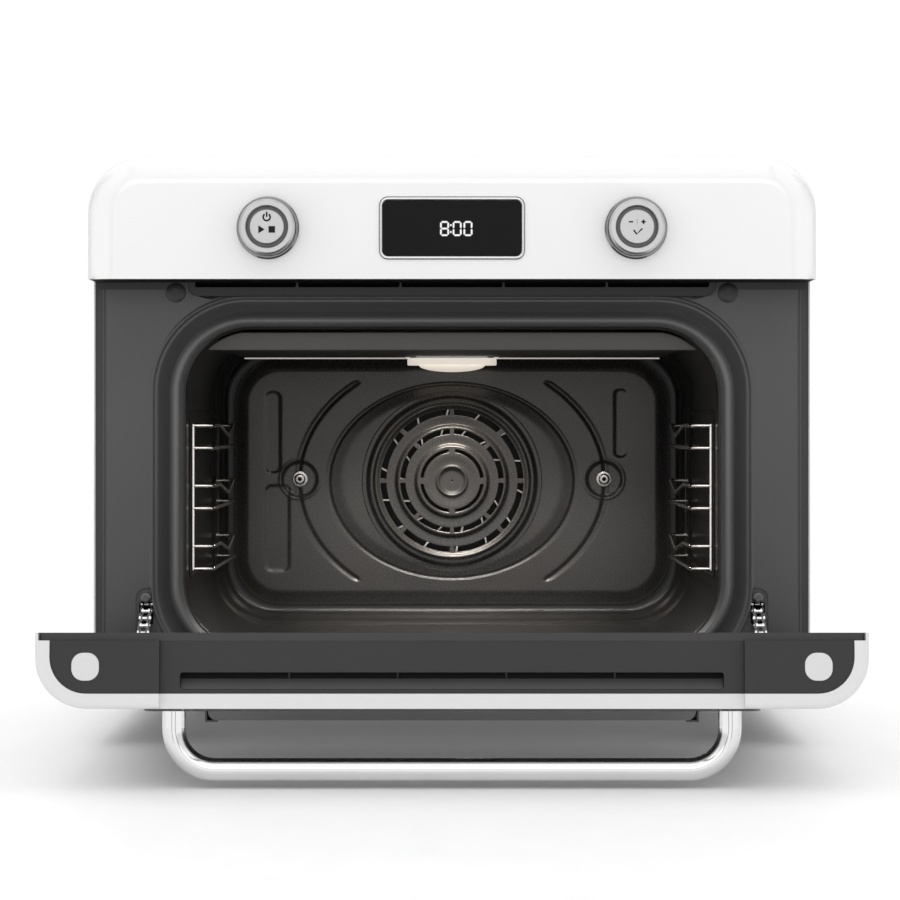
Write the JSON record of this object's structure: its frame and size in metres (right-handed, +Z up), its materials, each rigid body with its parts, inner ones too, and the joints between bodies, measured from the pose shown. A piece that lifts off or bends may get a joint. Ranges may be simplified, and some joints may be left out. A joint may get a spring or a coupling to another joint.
{
  "type": "combi steam oven",
  "caption": "Countertop combi steam oven with a drop-down glass door, a fan-heated cavity with wire racks, two push knobs and a clock.",
  "frame": {"origin": "on the table, under the middle of the oven's box at rest, with the door open", "axes": "+X to the right seen from the front, +Y from the door to the rear, +Z up"},
  "size_m": [0.4992, 0.6538, 0.403],
  "materials": {
    "white_enamel": "high gloss white enamel",
    "dark_enamel": "satin charcoal enamel",
    "baffle_enamel": "glossy brown-grey enamel",
    "silicone": "matt silicone rubber",
    "foot_rubber": "matt rubber",
    "wool": "mineral wool",
    "plated_steel": "zinc plated steel",
    "bright_steel": "bright stainless steel",
    "chrome": "polished chrome",
    "control_aluminium": "fine satin aluminium",
    "display_black": "black glass",
    "door_glass": "grey tinted glass",
    "lamp_glass": "clear glass",
    "dark_plastic": "satin dark plastic",
    "white_plastic": "gloss white plastic",
    "tank_plastic": "smoked translucent plastic",
    "hose": "silicone hose",
    "board": "green circuit board"
  },
  "bodies": {
    "cabinet": {"control_hood": "white_enamel", "outer_casing": "white_enamel", "front_frame": "dark_enamel", "door_gasket": "silicone", "cavity_liner": "dark_enamel", "cavity_insulation": "wool", "fan_baffle": "baffle_enamel", "baffle_screws": "plated_steel", "ceiling_panel": "baffle_enamel", "grill_element": "bright_steel", "ring_heater": "bright_steel", "lamp_lens": "lamp_glass", "lamp_housing": "plated_steel", "lamp_bulb": "lamp_glass", "rack_left": "chrome", "rack_right": "chrome", "door_bumpers": "silicone", "frame_screws": "plated_steel", "display_bezel": "chrome", "display_glass": "display_black", "knob_bezels": "chrome", "control_board": "board", "hinge_brackets": "plated_steel", "chain_guides": "plated_steel", "chain_spring_left": "plated_steel", "chain_spring_right": "plated_steel", "feet": "foot_rubber", "base_pan": "plated_steel", "fan_motor": "plated_steel", "blower_housing": "plated_steel", "blower_motor": "plated_steel", "steam_boiler": "plated_steel", "water_pump": "dark_plastic", "steam_nozzle": "plated_steel", "water_hoses": "hose", "power_board": "board", "rear_cover": "white_enamel", "mains_inlet": "dark_plastic", "cover_screws": "plated_steel"},
    "door": {"door_shell": "white_enamel", "door_inner_frame": "dark_enamel", "inner_glass": "door_glass", "outer_glass": "door_glass", "door_top_cap": "dark_plastic", "cap_plugs": "white_plastic", "handle_bar": "chrome", "handle_elbows": "chrome", "door_hinge_arms": "plated_steel"},
    "left_chain": {"chain_left": "chrome"},
    "right_chain": {"chain_right": "chrome"},
    "left_knob": {"left_knob": "control_aluminium"},
    "right_knob": {"right_knob": "control_aluminium"},
    "left_button": {"left_button": "control_aluminium"},
    "right_button": {"right_button": "control_aluminium"},
    "fan": {"convection_fan": "bright_steel", "fan_shaft": "plated_steel"},
    "blower": {"blower_rotor": "plated_steel"},
    "tray": {"drip_tray": "plated_steel"},
    "tank": {"water_tank": "tank_plastic", "tank_lid": "tank_plastic"}
  },
  "joints": [
    {"name": "door_hinge", "type": "hinge", "parent": "cabinet", "child": "door", "pos_m": [0, -0.066, 0.0554], "axis": [1, 0, 0], "range_deg": [-85, 0]},
    {"name": "left_chain_slide", "type": "slide", "parent": "cabinet", "child": "left_chain", "axis": [0, -0.8192, -0.5736], "range_m": [-0.0285, 0.0002], "deforming": ["chain_spring_left"]},
    {"name": "right_chain_slide", "type": "slide", "parent": "cabinet", "child": "right_chain", "axis": [0, -0.8192, -0.5736], "range_m": [-0.0285, 0.0002], "deforming": ["chain_spring_right"]},
    {"name": "left_knob_turn", "type": "hinge", "parent": "cabinet", "child": "left_knob", "pos_m": [-0.124, -0.091, 0.3528], "axis": [0, 1, 0], "continuous": true},
    {"name": "left_button_press", "type": "slide", "parent": "cabinet", "child": "left_button", "axis": [0, 1, 0], "range_m": [0, 0.0015], "stiffness_N_per_m": 500},
    {"name": "right_knob_turn", "type": "hinge", "parent": "cabinet", "child": "right_knob", "pos_m": [0.124, -0.091, 0.3528], "axis": [0, 1, 0], "continuous": true},
    {"name": "right_button_press", "type": "slide", "parent": "cabinet", "child": "right_button", "axis": [0, 1, 0], "range_m": [0, 0.0015], "stiffness_N_per_m": 500},
    {"name": "fan_spin", "type": "hinge", "parent": "cabinet", "child": "fan", "pos_m": [0, 0.246, 0.1764], "axis": [0, 1, 0], "continuous": true},
    {"name": "blower_spin", "type": "hinge", "parent": "cabinet", "child": "blower", "pos_m": [-0.03, 0.024, 0.335], "axis": [1, 0, 0], "continuous": true},
    {"name": "tray_slide", "type": "slide", "parent": "cabinet", "child": "tray", "axis": [0, -1, 0], "range_m": [0, 0.08]},
    {"name": "tank_slide", "type": "slide", "parent": "cabinet", "child": "tank", "axis": [1, 0, 0], "range_m": [0, 0.115]}
  ],
  "couplings": [
    {"joint": "left_chain_slide", "follows": "door_hinge", "m_per_rad": 0.0188},
    {"joint": "right_chain_slide", "follows": "door_hinge", "m_per_rad": 0.0188}
  ]
}
